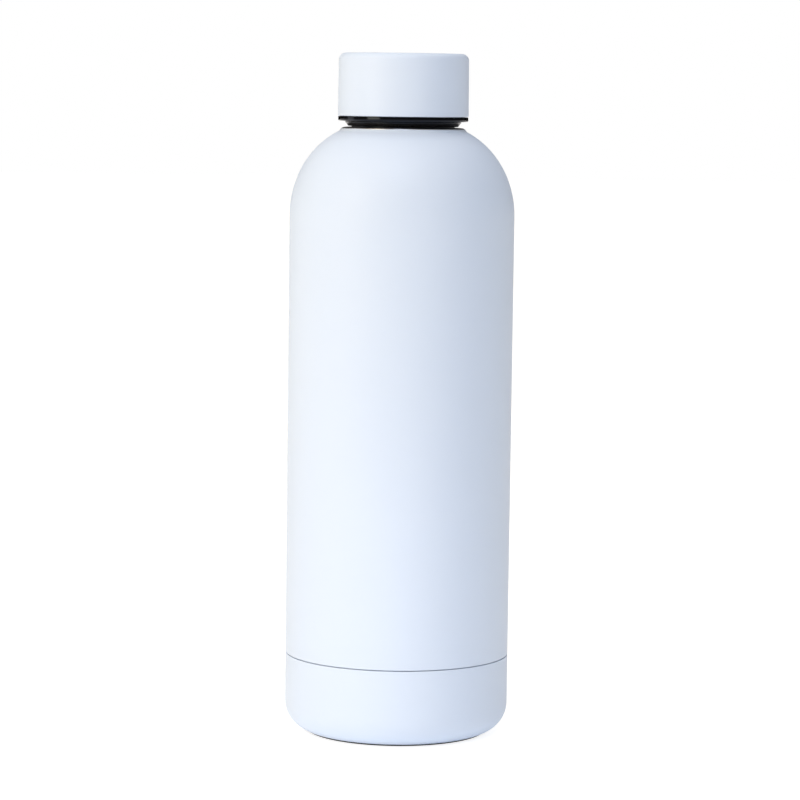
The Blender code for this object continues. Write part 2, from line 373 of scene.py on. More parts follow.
def close_geometry_tree(tree, geometry, material):
    """Ends a tree: smooth faces, no instances, one material."""
    smooth = tree.add("GeometryNodeSetShadeSmooth", inputs={"Geometry": geometry})
    real = tree.add("GeometryNodeRealizeInstances", inputs={"Geometry": smooth.outputs[0]})
    painted = tree.add("GeometryNodeSetMaterial", inputs={"Geometry": real.outputs[0], "Material": material})
    tree.add("NodeGroupOutput", inputs={"Geometry": painted.outputs[0]})


def turning_tree():
    """Turns an outline about the upright axis: each row of a grid takes one of its points."""
    group, tree, given = new_geometry_tree(
        "Turned piece",
        [
            ("Sides", "NodeSocketInt", 192),
            ("Closed outline", "NodeSocketInt", 0),
            ("Material", "NodeSocketMaterial", None),
        ],
    )
    size = tree.add(
        "GeometryNodeAttributeDomainSize", {"component": "MESH"}, {"Geometry": given["Geometry"]}
    )
    corners = tree.value(size, "Point Count")
    sides = Value(tree, given["Sides"])
    rows = corners + Value(tree, given["Closed outline"])
    grid = tree.add("GeometryNodeMeshGrid", inputs={"Vertices X": sides + 1, "Vertices Y": rows})
    index = tree.value(tree.add("GeometryNodeInputIndex"))
    column = tree.math("FLOOR", index / rows)
    corner = tree.math("FLOORED_MODULO", index - column * rows, corners)
    where = tree.add("GeometryNodeInputPosition")
    point = tree.add(
        "GeometryNodeSampleIndex",
        {"data_type": "FLOAT_VECTOR", "domain": "POINT"},
        {"Geometry": given["Geometry"], "Value": where.outputs[0], "Index": corner},
    )
    split = tree.add("ShaderNodeSeparateXYZ", inputs={0: point.outputs[0]})
    angle = column * (2.0 * math.pi) / sides
    place = tree.add(
        "ShaderNodeCombineXYZ",
        inputs={
            "X": tree.value(split, "X") * tree.math("COSINE", angle),
            "Y": tree.value(split, "X") * tree.math("SINE", angle),
            "Z": tree.value(split, "Z"),
        },
    )
    moved = tree.add(
        "GeometryNodeSetPosition", inputs={"Geometry": grid.outputs[0], "Position": place.outputs[0]}
    )
    merged = tree.add(
        "GeometryNodeMergeByDistance", inputs={"Geometry": moved.outputs[0], "Distance": MERGE}
    )
    close_geometry_tree(tree, merged.outputs[0], given["Material"])
    return group


def thread_tree():
    """A right-hand screw ridge: a spiral round a wall, swept by a rounded section that fades at both ends."""
    group, tree, given = new_geometry_tree(
        "Screw thread",
        [
            ("Wall radius", "NodeSocketFloat", 0.015),
            ("Start height", "NodeSocketFloat", 0.18),
            ("Lead", "NodeSocketFloat", 0.004),
            ("Turns", "NodeSocketFloat", 2.0),
            ("Points per turn", "NodeSocketInt", 96),
            ("Depth", "NodeSocketFloat", 0.001),
            ("Root half width", "NodeSocketFloat", 0.00075),
            ("Crest half width", "NodeSocketFloat", 0.0004),
            ("Edge rounding", "NodeSocketFloat", 0.00015),
            ("Run-out", "NodeSocketFloat", 0.012),
            ("Material", "NodeSocketMaterial", None),
        ],
    )

    def number(name):
        return Value(tree, given[name])

    spiral = tree.add(
        "GeometryNodeCurveSpiral",
        inputs={
            "Resolution": given["Points per turn"],
            "Rotations": given["Turns"],
            "Start Radius": given["Wall radius"],
            "End Radius": given["Wall radius"],
            "Height": number("Lead") * number("Turns"),
            "Reverse": True,
        },
    )
    lift = tree.add("ShaderNodeCombineXYZ", inputs={"Z": number("Start height")})
    raised = tree.add(
        "GeometryNodeSetPosition", inputs={"Geometry": spiral.outputs[0], "Offset": lift.outputs[0]}
    )
    upright = tree.add("GeometryNodeSetCurveNormal", {"mode": "Z_UP"}, {"Curve": raised.outputs[0]})
    depth, root, crest = number("Depth"), number("Root half width"), number("Crest half width")
    buried = depth * -BURIED_SHARE
    corners = [(buried, root * -1.0), (depth, crest * -1.0), (depth, crest), (buried, root)]
    points = {
        f"Point {n}": tree.add("ShaderNodeCombineXYZ", inputs={"X": x, "Y": y}).outputs[0]
        for n, (x, y) in enumerate(corners, 1)
    }
    section = tree.add("GeometryNodeCurvePrimitiveQuadrilateral", {"mode": "POINTS"}, points)
    rounded = tree.add(
        "GeometryNodeFilletCurve",
        {"mode": "POLY"},
        {"Curve": section.outputs[0], "Count": 3, "Radius": given["Edge rounding"]},
    )
    along = tree.value(tree.add("GeometryNodeSplineParameter"), "Length")
    whole = tree.value(tree.add("GeometryNodeSplineLength"), "Length")
    from_end = tree.math("MINIMUM", along, whole - along) / number("Run-out")
    fade = tree.math("MINIMUM", from_end * (1.0 - END_SCALE) + END_SCALE, 1.0)
    ridge = tree.add(
        "GeometryNodeCurveToMesh",
        inputs={
            "Curve": upright.outputs[0],
            "Profile Curve": rounded.outputs[0],
            "Scale": fade,
            "Fill Caps": True,
        },
    )
    close_geometry_tree(tree, ridge.outputs[0], given["Material"])
    return group


def set_inputs(modifier, values):
    """Sets a geometry modifier's inputs by the name that their sockets show."""
    for item in modifier.node_group.interface.items_tree:
        if item.in_out == "INPUT" and item.name in values:
            modifier[item.identifier] = values[item.name]


def tree_named(name, maker):
    return bpy.data.node_groups.get(name) or maker()


# ---------------------------------------------------------------- meshes


def rounded(corners, closed):
    """The outline's points, with an arc at each corner that states a rounding."""
    points = []
    count = len(corners)
    for i, corner in enumerate(corners):
        here = Vector(corner[:2])
        size = corner[2] if len(corner) > 2 else 0.0
        if not size or (not closed and i in (0, count - 1)):
            points.append(here)
            continue
        back = (Vector(corners[i - 1][:2]) - here).normalized()
        ahead = (Vector(corners[(i + 1) % count][:2]) - here).normalized()
        half = back.angle(ahead) / 2.0
        centre = here + (back + ahead).normalized() * (size / math.sin(half))
        run = size / math.tan(half)
        first, last = here + back * run - centre, here + ahead * run - centre
        start = math.atan2(first.y, first.x)
        sweep = (math.atan2(last.y, last.x) - start + math.pi) % (2.0 * math.pi) - math.pi
        steps = max(2, math.ceil(abs(sweep) / ROUNDING_STEP))
        for n in range(steps + 1):
            angle = start + sweep * n / steps
            points.append(centre + size * Vector((math.cos(angle), math.sin(angle))))
    return points


def curve_points(centre, radii, start, end, steps):
    """Points on an ellipse from the angle start to the angle end, in degrees."""
    angles = [math.radians(start + (end - start) * n / steps) for n in range(steps + 1)]
    return [(centre[0] + radii[0] * math.cos(a), centre[1] + radii[1] * math.sin(a)) for a in angles]


def settle(obj):
    """Swaps an object's mesh for what its modifiers make of it, and removes them."""
    graph = bpy.context.evaluated_depsgraph_get()
    mesh = bpy.data.meshes.new_from_object(obj.evaluated_get(graph))
    obj.modifiers.clear()
    old, obj.data = obj.data, mesh
    bpy.data.meshes.remove(old)
    mesh.name = obj.name


def face_outwards(mesh):
    """Merges doubles and turns a closed mesh right side out."""
    work = bmesh.new()
    work.from_mesh(mesh)
    bmesh.ops.remove_doubles(work, verts=work.verts, dist=MERGE)
    if work.calc_volume(signed=True) < 0.0:
        bmesh.ops.reverse_faces(work, faces=work.faces)
    work.to_mesh(mesh)
    work.free()


def generate(name, mesh, tree, values, material):
    """An object made by a geometry tree, as a plain mesh."""
    obj = bpy.data.objects.new(name, mesh)
    bpy.context.scene.collection.objects.link(obj)
    modifier = obj.modifiers.new(tree.name, "NODES")
    modifier.node_group = tree
    set_inputs(modifier, {**values, "Material": material})
    settle(obj)
    face_outwards(obj.data)
    if not obj.data.materials:
        obj.data.materials.append(material)
    obj.data.shade_smooth()
    return obj


def turned(name, corners, material, closed=False):
    """A turned piece from its half outline in millimetres."""
    points = rounded(corners, closed)
    mesh = bpy.data.meshes.new(name)
    mesh.from_pydata([(p[0] * MM, 0.0, p[1] * MM) for p in points], [], [])
    tree = tree_named("Turned piece", turning_tree)
    sides = bpy.context.scene.bottle_sizes.sides
    obj = generate(name, mesh, tree, {"Sides": sides, "Closed outline": int(closed)}, material)
    obj.data.set_sharp_from_angle(angle=SHARP_ANGLE)
    return obj


def screw_ridge(name, wall, low, turns, depth, material):
    """A screw ridge in millimetres. A negative depth points towards the axis."""
    sizes = bpy.context.scene.bottle_sizes
    values = {
        "Wall radius": wall * MM,
        "Start height": low * MM,
        "Lead": sizes.thread_lead,
        "Turns": turns,
        "Depth": depth * MM,
    }
    tree = tree_named("Screw thread", thread_tree)
    return generate(name, bpy.data.meshes.new(name), tree, values, material)


def weld_on(obj, ridge):
    """Joins a ridge to the wall that it stands on."""
    union = obj.modifiers.new("Ridge", "BOOLEAN")
    union.operation = "UNION"
    union.object = ridge
    settle(obj)
    bpy.data.objects.remove(ridge)
    obj.data.shade_smooth()
    obj.data.set_sharp_from_angle(angle=SHARP_ANGLE)


def mount(obj, body, slot, *nodes):
    """Hands a finished piece to the frame."""
    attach(obj, body)
    if nodes:
        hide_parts(*nodes)
    return obj


# ---------------------------------------------------------------- materials


class Finish(NodeTree):
    """A material being made: one Principled shader and the nodes that vary it."""

    def __init__(self, name, colour, roughness, metallic=0.0, **constants):
        self.material = bpy.data.materials.new(name)
        self.material.use_nodes = True
        super().__init__(self.material.node_tree)
        self.shader = self.tree.nodes["Principled BSDF"]
        self.colour = tuple(colour)
        self.feed("Base Color", (*colour, 1.0))
        self.feed("Roughness", roughness)
        self.feed("Metallic", metallic)
        for label, value in constants.items():
            self.feed(label.replace("_", " "), value)
        coordinates = self.add("ShaderNodeTexCoord")
        self.place = coordinates.outputs["Object"]
        split = self.add("ShaderNodeSeparateXYZ", inputs={0: self.place})
        self.x, self.y, self.z = (self.value(split, axis) for axis in "XYZ")
        self.material.diffuse_color = (*colour, 1.0)

    def feed(self, name, value):
        """Sets or links a socket of the finish's shader."""
        self.fill(self.shader.inputs[name], value)

    def noise(self, scale, detail, place=None):
        """Noise from 0 to 1 with that many features per metre."""
        inputs = {"Vector": place or self.place, "Scale": scale, "Detail": detail}
        return self.value(self.add("ShaderNodeTexNoise", inputs=inputs), "Fac")

    def cells(self, scale):
        """Distance from the nearest of scattered points, that many of them per metre."""
        inputs = {"Vector": self.place, "Scale": scale}
        return self.value(self.add("ShaderNodeTexVoronoi", inputs=inputs), "Distance")

    def stretched(self, x, y, z):
        """Object coordinates scaled along each axis."""
        node = self.add("ShaderNodeVectorMath", {"operation": "MULTIPLY"}, {0: self.place, 1: (x, y, z)})
        return node.outputs[0]

    def ramp(self, value, *stops):
        return self.value(self.add("ShaderNodeValToRGB", {"stops": stops}, {"Fac": value}))

    def blend(self, amount, second):
        """Base Color goes from the finish's colour to a second one by amount."""
        node = self.add(
            "ShaderNodeMix",
            {"data_type": "RGBA"},
            {"Factor_Float": amount, "A_Color": (*self.colour, 1.0), "B_Color": (*second, 1.0)},
        )
        self.feed("Base Color", next(socket for socket in node.outputs if socket.enabled))

    def emboss(self, height, distance):
        """Bump: height from 0 to 1 stands for distance in metres."""
        node = self.add("ShaderNodeBump", inputs={"Height": height, "Distance": distance, "Strength": 1.0})
        self.feed("Normal", node.outputs["Normal"])

    def radius(self):
        return self.math("SQRT", self.x * self.x + self.y * self.y)


def shade(colour, factor):
    return tuple(min(1.0, c * factor) for c in colour)


def soft_touch_coat():
    """Sprayed soft-touch paint: a fine orange-peel grain, uneven gloss and faint handling marks."""
    settings = bpy.context.scene.bottle_finish
    base = settings.coat_roughness
    coat = Finish(
        "soft_touch_coat",
        settings.coat_colour,
        base,
        Sheen_Weight=0.06,
        Sheen_Roughness=0.5,
        Specular_IOR_Level=0.42,
    )
    clouds = coat.noise(38.0, 2.0)
    marks = coat.ramp(coat.noise(95.0, 4.0, coat.stretched(1.0, 1.0, 0.45)), (0.56, 0.0), (0.72, 1.0))
    grain = coat.noise(2600.0, 2.0)
    peel = coat.noise(700.0, 1.0)
    coat.blend(clouds * 0.55 + marks * 0.12, shade(settings.coat_colour, 0.975))
    coat.feed("Roughness", (clouds - 0.5) * 0.08 + (grain - 0.5) * 0.10 - marks * 0.035 + base)
    coat.emboss(grain * 0.55 + peel * 0.45, 12.0 * MICRON)
    return coat.material


def polished_steel():
    """The mouth's lip and the inner wall: bright steel with fine turning lines round it."""
    colour = bpy.context.scene.bottle_finish.steel_colour
    steel = Finish("polished_steel", colour, 0.16, 1.0)
    lines_per_metre = 5200.0
    section = steel.add(
        "ShaderNodeCombineXYZ",
        inputs={"X": steel.radius() * lines_per_metre, "Z": steel.z * lines_per_metre},
    )
    lines = steel.noise(1.0, 3.0, section.outputs[0])
    cloud = steel.noise(60.0, 3.0)
    steel.blend(cloud * 0.7, shade(colour, 0.86))
    steel.feed("Roughness", lines * 0.12 + cloud * 0.08 + 0.22)
    steel.emboss(lines, 4.0 * MICRON)
    return steel.material


def satin_steel():
    """Drawn steel that isn't polished: lengthwise scratches and a dull cloud."""
    colour = bpy.context.scene.bottle_finish.steel_colour
    steel = Finish("satin_steel", shade(colour, 0.92), 0.34, 1.0)
    scratches = steel.noise(1.0, 4.0, steel.stretched(1500.0, 1500.0, 40.0))
    cloud = steel.noise(45.0, 3.0)
    steel.blend(cloud, shade(colour, 0.74))
    steel.feed("Roughness", scratches * 0.2 + cloud * 0.1 + 0.2)
    steel.emboss(scratches, 6.0 * MICRON)
    return steel.material


# Highlights on the black pieces are a little cooler than the lights.
COOL_SHEEN = (0.58, 0.72, 1.0, 1.0)


def gloss_black_plastic():
    """Moulded black plastic: glossy, with faint flow waves and fine scuffs."""
    colour = bpy.context.scene.bottle_finish.black_colour
    plastic = Finish("gloss_black_plastic", colour, 0.1, Specular_IOR_Level=0.3, Specular_Tint=COOL_SHEEN)
    waves = plastic.noise(140.0, 2.0)
    rubbed = plastic.noise(1900.0, 3.0, plastic.stretched(1.0, 1.0, 5.0))
    scuffs = plastic.ramp(rubbed, (0.60, 0.0), (0.75, 1.0))
    plastic.blend(scuffs * 0.3, (0.016, 0.016, 0.018))
    plastic.feed("Roughness", waves * 0.05 + scuffs * 0.12 + 0.05)
    plastic.emboss(waves, 10.0 * MICRON)
    return plastic.material


def satin_black_plastic():
    """The plug: moulded plastic with a fine spark-eroded grain."""
    colour = shade(bpy.context.scene.bottle_finish.black_colour, 1.5)
    plastic = Finish("satin_black_plastic", colour, 0.36, Specular_Tint=COOL_SHEEN)
    grain = plastic.noise(3200.0, 2.0)
    rub = plastic.noise(240.0, 3.0)
    plastic.blend(rub * 0.4, (0.035, 0.035, 0.037))
    plastic.feed("Roughness", grain * 0.14 + rub * 0.12 + 0.22)
    plastic.emboss(grain, 10.0 * MICRON)
    return plastic.material


def black_silicone():
    """Seal and foot ring: a soft black with a dull bloom that holds a little dust."""
    colour = bpy.context.scene.bottle_finish.silicone_colour
    silicone = Finish("black_silicone", colour, 0.32, Specular_IOR_Level=0.4, Specular_Tint=COOL_SHEEN)
    dust = silicone.ramp(silicone.noise(2400.0, 4.0), (0.62, 0.0), (0.78, 1.0))
    bloom = silicone.noise(180.0, 3.0)
    silicone.blend(dust * 0.2 + bloom * 0.12, (0.05, 0.05, 0.052))
    silicone.feed("Roughness", bloom * 0.14 + dust * 0.15 + 0.14)
    silicone.emboss(silicone.noise(1500.0, 2.0), 15.0 * MICRON)
    return silicone.material


def copper_foil():
    """Thin rolled copper, a little creased."""
    foil = Finish("copper_foil", (0.84, 0.43, 0.26), 0.28, 1.0)
    creases = foil.noise(160.0, 5.0)
    foil.blend(creases, (0.62, 0.30, 0.18))
    foil.feed("Roughness", creases * 0.3 + 0.12)
    foil.emboss(creases, 80.0 * MICRON)
    return foil.material


def white_foam():
    """Closed-cell foam with its cut cells showing."""
    foam = Finish("white_foam", (0.88, 0.88, 0.86), 0.9)
    cells = foam.cells(900.0)
    foam.blend(cells, (0.62, 0.62, 0.60))
    foam.feed("Roughness", cells * 0.15 + 0.8)
    foam.emboss(cells, 200.0 * MICRON)
    return foam.material


def clear_adhesive():
    """Cured adhesive with a few trapped bubbles."""
    glue = Finish("clear_adhesive", (0.72, 0.68, 0.55), 0.35)
    bubbles = glue.ramp(glue.cells(420.0), (0.10, 1.0), (0.22, 0.0))
    glue.blend(bubbles, (0.90, 0.88, 0.80))
    glue.feed("Roughness", bubbles * 0.2 + 0.28)
    glue.emboss(bubbles, 50.0 * MICRON)
    return glue.material


def solder_glass():
    """Dark glass solder that ran and froze."""
    glass = Finish("solder_glass", (0.05, 0.07, 0.065), 0.12)
    runs = glass.noise(500.0, 3.0)
    glass.blend(runs, (0.12, 0.15, 0.14))
    glass.feed("Roughness", runs * 0.18 + 0.05)
    glass.emboss(runs, 40.0 * MICRON)
    return glass.material


def getter_alloy():
    """Pressed metal powder: dark, dull and granular."""
    powder = Finish("getter_alloy", (0.20, 0.20, 0.21), 0.8, 0.6)
    grains = powder.cells(2600.0)
    powder.blend(grains, (0.36, 0.35, 0.34))
    powder.feed("Roughness", grains * 0.25 + 0.6)
    powder.emboss(grains, 80.0 * MICRON)
    return powder.material


def floor_paint():
    """Pale matte sweep that nearly burns out to white for the camera."""
    studio = bpy.context.scene.bottle_studio
    glow = studio.floor_glow
    paint = Finish("pale_floor", studio.floor_colour, 0.9, Specular_IOR_Level=0.1, Emission_Strength=glow)
    cloud = paint.noise(3.0, 2.0)
    paint.blend(cloud * 0.2, shade(paint.colour, 0.985))
    paint.feed("Roughness", cloud * 0.06 + 0.86)
    paint.feed("Emission Color", (1.0, 1.0, 1.0, 1.0))
    glare = paint.add("ShaderNodeEmission", inputs={"Strength": 1.25})
    burnt_out = 0.6
    seen = paint.value(paint.add("ShaderNodeLightPath"), "Is Camera Ray") * burnt_out
    mix = paint.add("ShaderNodeMixShader", inputs={0: seen, 1: paint.shader.outputs[0], 2: glare.outputs[0]})
    paint.tree.links.new(mix.outputs[0], paint.tree.nodes["Material Output"].inputs["Surface"])
    return paint.material


FINISHES = {
    "coat": soft_touch_coat,
    "polished steel": polished_steel,
    "satin steel": satin_steel,
    "gloss black": gloss_black_plastic,
    "satin black": satin_black_plastic,
    "silicone": black_silicone,
    "copper": copper_foil,
    "foam": white_foam,
    "adhesive": clear_adhesive,
    "solder glass": solder_glass,
    "getter": getter_alloy,
    "floor": floor_paint,
}
made_finishes = {}


def finish(name):
    """The named material, made once."""
    if name not in made_finishes:
        made_finishes[name] = FINISHES[name]()
    return made_finishes[name]


# ---------------------------------------------------------------- pieces


# How far a screw ridge stands out from its wall, in millimetres.
RIDGE = 0.97


class BOTTLE_OT_outer_wall(bpy.types.Operator):
    """Coated outer wall, from the rim under the lip down to the spigot inside the base cup"""

    bl_idname = "bottle.outer_wall"
    bl_label = "Outer Wall"

    def execute(self, context):
        sizes = context.scene.bottle_sizes
        wall, sheet = sizes.mm("body_radius"), sizes.mm("sheet")
        run, rise = sizes.mm("shoulder_run"), sizes.mm("shoulder_rise")
        centre = (wall - run, sizes.mm("shoulder_start"))
        mouth, rim_radius, rim = 18.0, 19.3, top("outer_shell")
        bead = rim + 0.28
        seam_gap = 0.25
        seam = top("base_cup") + seam_gap
        spigot, low = 33.6, foot("outer_shell")
        outside = [(mouth, rim), (rim_radius - 0.2, rim)]
        outside += [(rim_radius - 0.18, bead, 0.05), (rim_radius, bead, 0.12)]
        outside += curve_points(centre, (run, rise), 65.0, 0.0, 56)
        outside += [(wall, seam, 0.14), (spigot, seam, 0.1), (spigot, low)]
        inside = [(spigot - sheet, low), (spigot - sheet, seam + 0.4), (wall - sheet, seam + 1.2)]
        inside += curve_points(centre, (run - sheet, rise - sheet), 0.0, 66.0, 40)
        inside += [(mouth, rim - sheet)]
        piece = turned("outer_wall", outside + inside, finish("coat"), closed=True)
        mount(piece, "bottle", "soft_touch_paint", "outer_shell")
        return {"FINISHED"}


class BOTTLE_OT_base(bpy.types.Operator):
    """Coated base cup below the seam, and the foot ring in its channel"""

    bl_idname = "bottle.base"
    bl_label = "Base Cup and Foot Ring"

    def execute(self, context):
        sizes = context.scene.bottle_sizes
        wall, sheet, corner = sizes.mm("body_radius"), sizes.mm("sheet"), sizes.mm("base_corner")
        seam, low = top("base_cup"), 0.1
        ring_out, ring_in, ring_top = reach("foot_ring"), 24.4, top("foot_ring")
        centre = (wall - corner, low + corner)
        glue_gap, ring_gap = 0.15, 0.2
        channel, groove = ring_top + glue_gap, ring_out + ring_gap
        dish, dish_edge = channel + 0.8, 22.6
        end = -math.degrees(math.acos((groove - centre[0]) / corner))
        inner = corner - sheet
        start = -math.degrees(math.asin((centre[1] - channel - sheet) / inner))
        cup = [(0.0, dish + sheet), (dish_edge, dish + sheet, 0.5), (dish_edge + 1.2, channel + sheet, 0.5)]
        cup += curve_points(centre, (inner, inner), start, 0.0, 20)
        cup += [(wall - sheet, seam, 0.1), (wall, seam, 0.14)]
        cup += curve_points(centre, (corner, corner), 0.0, end, 28)
        cup += [(groove, channel, 0.1), (ring_in - ring_gap, channel, 0.3)]
        cup += [(dish_edge + 0.3, dish, 0.5), (0.0, dish)]
        piece = turned("base_cup_coated", cup, finish("coat"))
        mount(piece, "bottle", "soft_touch_paint", "base_cup")
        tread, cut = 1.2, 0.15
        ring = [(ring_in, ring_top), (ring_out, ring_top), (ring_out, 0.0, 0.35)]
        ring += [(ring_out - tread, 0.0), (ring_out - tread - cut, cut), (ring_out - tread - 2.0 * cut, 0.0)]
        ring += [(ring_in + tread + 2.0 * cut, 0.0), (ring_in + tread + cut, cut), (ring_in + tread, 0.0)]
        ring += [(ring_in, 0.0, 0.35)]
        piece = turned("foot_ring_silicone", ring, finish("silicone"), closed=True)
        mount(piece, "bottle", "black_silicone", "foot_ring")
        return {"FINISHED"}


class BOTTLE_OT_inner_vessel(bpy.types.Operator):
    """Steel inner vessel: the polished lip, the threaded neck, the drawn wall and the welded bottom"""

    bl_idname = "bottle.inner_vessel"
    bl_label = "Inner Vessel"

    def execute(self, context):
        sizes = context.scene.bottle_sizes
        sheet = sizes.mm("sheet")
        lip, neck, wall = top("inner_liner"), 16.4, reach("inner_liner")
        floor, corner = foot("inner_liner"), 6.0
        neck_wall, neck_end, fillet = 0.9, 178.5, 3.9
        fillet_centre = (neck + fillet, neck_end)
        slope = 65.0
        slope_cos, slope_sin = math.cos(math.radians(slope)), math.sin(math.radians(slope))
        joint_r = fillet_centre[0] - (fillet - neck_wall) * slope_cos
        joint_z = fillet_centre[1] - (fillet - neck_wall) * slope_sin
        dome = (wall - joint_r) / (1.0 - slope_cos)
        dome_centre = (wall - dome, joint_z - dome * slope_sin)
        foot_centre = (wall - corner, floor + corner)
        flat, roll, roll_drop, lip_depth = 0.8, 1.85, 0.42, 0.55
        outside = [(neck, lip, 0.25), (neck + flat, lip)]
        outside += curve_points((neck + flat, lip - roll_drop), (roll, roll_drop), 88.0, 10.0, 20)
        outside += [(neck + flat + roll, lip - lip_depth), (neck + neck_wall, lip - lip_depth)]
        outside += curve_points(fillet_centre, (fillet - neck_wall,) * 2, 180.0, 180.0 + slope, 10)
        outside += curve_points(dome_centre, (dome, dome), slope, 0.0, 30)[1:]
        outside += curve_points(foot_centre, (corner, corner), 0.0, -90.0, 12)
        inside = curve_points(foot_centre, (corner - sheet,) * 2, -90.0, 0.0, 12)
        inside += curve_points(dome_centre, (dome - sheet,) * 2, 0.0, slope, 30)[:-1]
        inside += curve_points(fillet_centre, (fillet, fillet), 180.0 + slope, 180.0, 12)
        piece = turned("inner_vessel", outside + inside, finish("polished steel"), closed=True)
        start, turns = 180.3, 1.75
        weld_on(piece, screw_ridge("neck_ridge", neck, start, turns, -RIDGE, finish("polished steel")))
        mount(piece, "bottle", "bare_steel", "inner_liner")
        overlap = 0.15
        edge = foot_centre[0] + overlap
        rise = ((0.0, 1.2), (3.0, 1.15), (6.0, 1.0), (8.5, 0.65), (11.0, 0.3), (12.5, 0.08), (14.0, 0.0))
        disc = [(r, floor + z + sheet) for r, z in rise]
        weld = ((1.1, 0.0), (0.6, 0.22), (0.0, 0.05))
        disc += [(edge - r, floor + sheet + z) for r, z in weld]
        disc += [(edge, floor)] + [(r, floor + z) for r, z in reversed(rise)]
        piece = turned("vessel_floor", disc, finish("polished steel"))
        mount(piece, "bottle", "bare_steel", "liner_bottom")
        return {"FINISHED"}


class BOTTLE_OT_vacuum_parts(bpy.types.Operator):
    """Finishes of the parts shut in between the walls, which keep their CAD shapes"""

    bl_idname = "bottle.vacuum_parts"
    bl_label = "Vacuum Parts"

    def execute(self, context):
        inside = {
            "outer_bottom": "satin steel",
            "seal_bead": "solder glass",
            "getter_cup": "satin steel",
            "getter_tablet": "getter",
            "copper_foil": "copper",
            "base_bond_ring": "adhesive",
            "cap_bond_ring": "adhesive",
            "plug_foam": "foam",
            "cap_foam": "foam",
        }
        for node, name in inside.items():
            mesh = frame["nodes"][node].data
            mesh.materials.clear()
            mesh.materials.append(finish(name))
        return {"FINISHED"}


class BOTTLE_OT_cap(bpy.types.Operator):
    """Coated cap, and the black insert whose flange shows under it"""

    bl_idname = "bottle.cap"
    bl_label = "Cap"

    def execute(self, context):
        sizes = context.scene.bottle_sizes
        wide, sheet, corner = sizes.mm("cap_radius"), sizes.mm("sheet"), sizes.mm("cap_corner")
        high, low = top("cap_shell"), foot("cap_shell")
        draft = 0.12
        narrow = wide - draft
        centre = (narrow - corner, high - corner)
        shell = [(0.0, high)] + curve_points(centre, (corner, corner), 90.0, 0.0, 20)
        shell += [(wide, low, 0.3), (wide - sheet, low, 0.08)]
        shell += curve_points(centre, (corner - sheet,) * 2, 0.0, 90.0, 14) + [(0.0, high - sheet)]
        piece = turned("cap_coated", shell, finish("coat"))
        mount(piece, "cap", "soft_touch_paint", "cap_shell")
        shadow_gap = 0.15
        flange, under, over = reach("cap_insert"), foot("cap_insert"), low - shadow_gap
        skirt, wall, crown = 18.9, 1.6, top("cap_insert")
        ledge, bore = 193.2, 15.9
        insert = [(skirt - wall, crown, 0.2), (skirt, crown, 0.3)]
        insert += [(skirt, over + 0.4, 0.2), (skirt + 0.3, over)]
        insert += [(flange, over, 0.1), (flange, under + 0.06, 0.3), (flange - 0.8, under, 0.1)]
        insert += [(bore, under), (bore, ledge), (skirt - wall, ledge)]
        piece = turned("cap_insert_black", insert, finish("gloss black"), closed=True)
        mount(piece, "cap", "black_plastic", "cap_insert")
        return {"FINISHED"}


class BOTTLE_OT_plug(bpy.types.Operator):
    """Threaded plug that screws into the neck, and the silicone seal on its shank"""

    bl_idname = "bottle.plug"
    bl_label = "Plug and Seal"

    def execute(self, context):
        root, wall = 15.1, 1.6
        low, high = foot("plug"), top("plug")
        flange, shank = reach("plug"), root + 0.5
        inner = root - wall
        ledge, shank_foot, dimple = 193.5, 191.3, low + 0.45
        cup = [(0.0, low + wall), (inner, low + wall, 0.5), (inner, high, 0.2), (flange, high, 0.3)]
        cup += [(flange, ledge, 0.2), (shank, ledge), (shank, shank_foot, 0.1), (root, shank_foot, 0.1)]
        cup += [(root, low + 1.0, 0.5), (root - 1.0, low, 0.5), (root - 2.4, low, 0.25)]
        cup += [(root - 2.8, low + 0.6, 0.25), (3.0, low + 0.6, 0.1), (2.8, dimple, 0.1), (0.0, dimple)]
        piece = turned("plug_threaded", cup, finish("satin black"))
        start, turns = 179.0, 2.0
        weld_on(piece, screw_ridge("plug_ridge", root, start, turns, RIDGE, finish("satin black")))
        mount(piece, "cap", "black_plastic", "plug")
        clearance = 0.3
        outer, upper, lower = reach("lid_gasket"), top("lid_gasket"), top("inner_liner") + clearance
        sleeve, sleeve_low, hole = 16.0, foot("lid_gasket"), root + clearance
        groove, groove_top = 16.2, lower + 0.15
        seal = [(hole, upper), (outer, upper, 0.08), (outer - 0.08, upper - 0.2, 0.1)]
        seal += [(outer - 0.85, lower + 0.2, 0.15), (outer - 1.1, lower, 0.08), (groove + 0.4, lower, 0.05)]
        seal += [(groove + 0.3, groove_top, 0.05), (groove + 0.1, groove_top, 0.05), (groove, lower, 0.05)]
        seal += [(sleeve, lower, 0.05), (sleeve, sleeve_low, 0.25), (hole, sleeve_low)]
        piece = turned("lid_seal", seal, finish("silicone"), closed=True)
        mount(piece, "seal", "black_silicone", "lid_gasket")
        return {"FINISHED"}


# ---------------------------------------------------------------- studio


# Width of the camera's sensor, in millimetres.
SENSOR_WIDTH = 36.0
# For each light: its place and what it faces, its width and height, and its colour.
LIGHTS = {
    "key_light": ((-1.05, -0.77, 0.80), (0.0, 0.0, 0.80), (0.55, 1.3), (1.0, 0.81, 0.53)),
    "edge_light": ((-1.2, 0.35, 0.5), (0.0, 0.0, 0.12), (0.4, 1.0), (1.0, 0.94, 0.90)),
    "top_light": ((-0.1, -0.9, 1.5), (0.0, 0.0, 0.17), (0.7, 0.5), (0.70, 0.79, 1.0)),
    "low_light": ((-0.02, -0.17, 0.02), (0.0, 0.0, 0.02), (0.16, 0.03), (0.92, 0.92, 1.0)),
}


